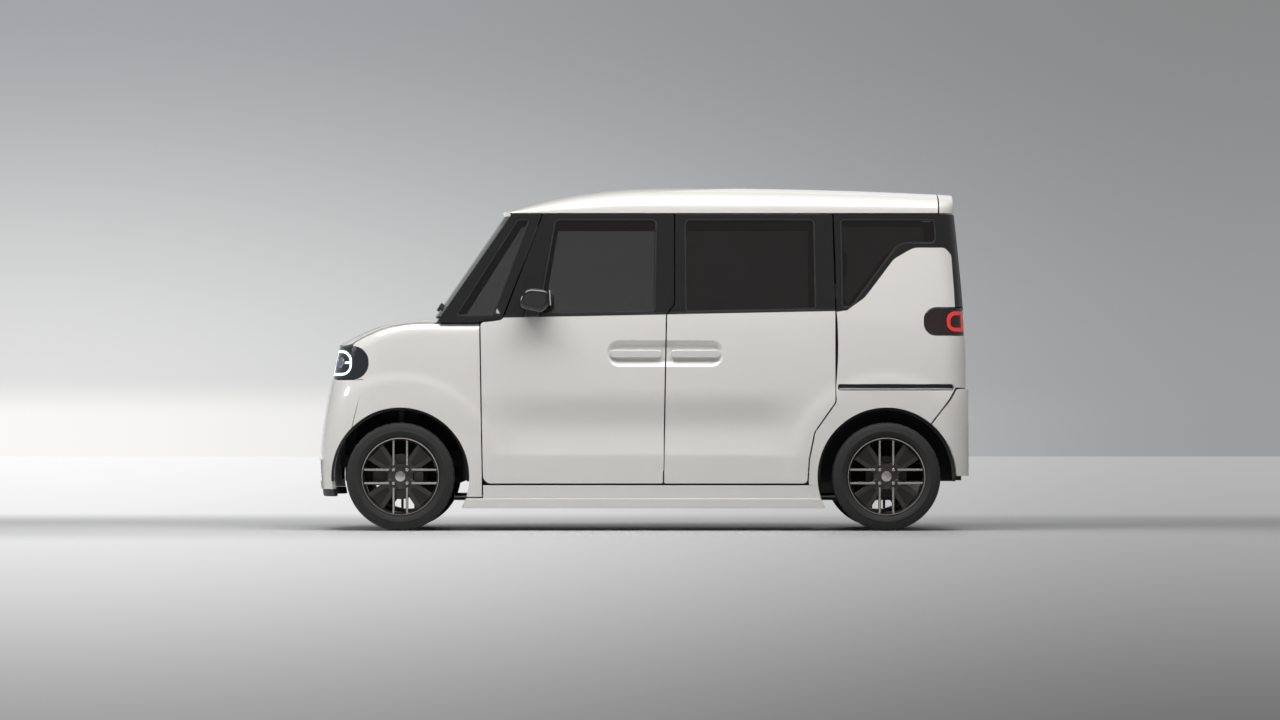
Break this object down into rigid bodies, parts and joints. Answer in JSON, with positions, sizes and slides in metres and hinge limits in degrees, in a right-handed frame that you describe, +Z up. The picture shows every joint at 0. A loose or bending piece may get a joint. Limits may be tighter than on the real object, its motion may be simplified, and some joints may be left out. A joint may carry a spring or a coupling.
{
  "type": "kei car",
  "caption": "Tall two-box kei car with hinged front doors, bonnet and tailgate, sliding rear doors and steered front wheels.",
  "frame": {"origin": "on the ground under the middle of the body", "axes": "+X to the rear of the car, +Y to its right-hand side, +Z up"},
  "size_m": [3.3944, 1.7242, 1.7934],
  "materials": {
    "paint": "gloss",
    "black_trim": "gloss",
    "dark_plastic": "matte",
    "glass": "gloss",
    "lamp": "gloss",
    "tail_lamp": "gloss",
    "wheel": "satin",
    "tyre": "matte",
    "chassis": "satin",
    "iron": "satin",
    "cloth": "matte",
    "steel": "satin"
  },
  "bodies": {
    "body": {"floor_pan": "chassis", "body_sides": "paint", "inner_frame": "chassis", "roof_panel": "paint", "front_fenders": "paint", "front_bumper": "paint", "rear_bumper": "paint", "grille": "black_trim", "headlamps": "lamp", "tail_lamps": "tail_lamp", "windscreen": "glass", "side_glass": "glass", "sliding_doors": "paint", "door_rails": "black_trim", "front_seats": "cloth", "rear_seat": "cloth", "dashboard": "dark_plastic", "engine": "iron", "exhaust": "steel", "fuel_tank": "dark_plastic", "rear_axle": "chassis", "front_suspension": "chassis", "cowl_panel": "dark_plastic", "wheel_liners": "dark_plastic"},
    "door_left": {"front_door_left": "paint", "front_glass_left": "glass", "mirror_left": "black_trim"},
    "door_right": {"front_door_right": "paint", "front_glass_right": "glass", "mirror_right": "black_trim"},
    "bonnet": {"bonnet": "paint"},
    "tailgate": {"tailgate": "paint", "tailgate_glass": "glass"},
    "steering_wheel": {"steering_wheel": "dark_plastic"},
    "knuckle_left": {"knuckle_left": "chassis"},
    "knuckle_right": {"knuckle_right": "chassis"},
    "wheel_front_left": {"wheel_front_left": "wheel", "tyre_front_left": "tyre", "brake_disc_left": "iron"},
    "wheel_front_right": {"wheel_front_right": "wheel", "tyre_front_right": "tyre", "brake_disc_right": "iron"},
    "wheel_rear_left": {"wheel_rear_left": "wheel", "tyre_rear_left": "tyre", "brake_drum_left": "iron"},
    "wheel_rear_right": {"wheel_rear_right": "wheel", "tyre_rear_right": "tyre", "brake_drum_right": "iron"}
  },
  "joints": [
    {"name": "door_left_hinge", "type": "hinge", "parent": "body", "child": "door_left", "pos_m": [-0.7805, -0.7245, 0.6], "axis": [0, 0, -1], "range_deg": [0, 68]},
    {"name": "door_right_hinge", "type": "hinge", "parent": "body", "child": "door_right", "pos_m": [-0.7805, 0.7245, 0.6], "axis": [0, 0, 1], "range_deg": [0, 68]},
    {"name": "bonnet_hinge", "type": "hinge", "parent": "body", "child": "bonnet", "pos_m": [-1.0715, 0, 1.096], "axis": [0, 1, 0], "range_deg": [0, 60]},
    {"name": "tailgate_hinge", "type": "hinge", "parent": "body", "child": "tailgate", "pos_m": [1.5285, 0, 1.76], "axis": [0, -1, 0], "range_deg": [0, 85]},
    {"name": "steer_left", "type": "hinge", "parent": "body", "child": "knuckle_left", "pos_m": [-1.2525, -0.625, 0.19], "axis": [0, 0.1734, 0.9849], "range_deg": [-34, 34]},
    {"name": "steer_right", "type": "hinge", "parent": "body", "child": "knuckle_right", "pos_m": [-1.2525, 0.625, 0.19], "axis": [0, -0.1734, 0.9849], "range_deg": [-34, 34]},
    {"name": "steering_wheel_turn", "type": "hinge", "parent": "body", "child": "steering_wheel", "pos_m": [-0.6675, 0.305, 0.985], "axis": [0.866, 0, 0.5], "range_deg": [-540, 540]},
    {"name": "wheel_front_left_spin", "type": "hinge", "parent": "knuckle_left", "child": "wheel_front_left", "pos_m": [-1.2525, -0.65, 0.281], "axis": [0, -1, 0], "continuous": true},
    {"name": "wheel_front_right_spin", "type": "hinge", "parent": "knuckle_right", "child": "wheel_front_right", "pos_m": [-1.2525, 0.65, 0.281], "axis": [0, -1, 0], "continuous": true},
    {"name": "wheel_rear_left_spin", "type": "hinge", "parent": "body", "child": "wheel_rear_left", "pos_m": [1.2675, -0.65, 0.281], "axis": [0, -1, 0], "continuous": true},
    {"name": "wheel_rear_right_spin", "type": "hinge", "parent": "body", "child": "wheel_rear_right", "pos_m": [1.2675, 0.65, 0.281], "axis": [0, -1, 0], "continuous": true}
  ],
  "couplings": [
    {"joint": "steer_right", "follows": "steer_left", "ratio": 1},
    {"joint": "steering_wheel_turn", "follows": "steer_left", "ratio": 15.5}
  ]
}
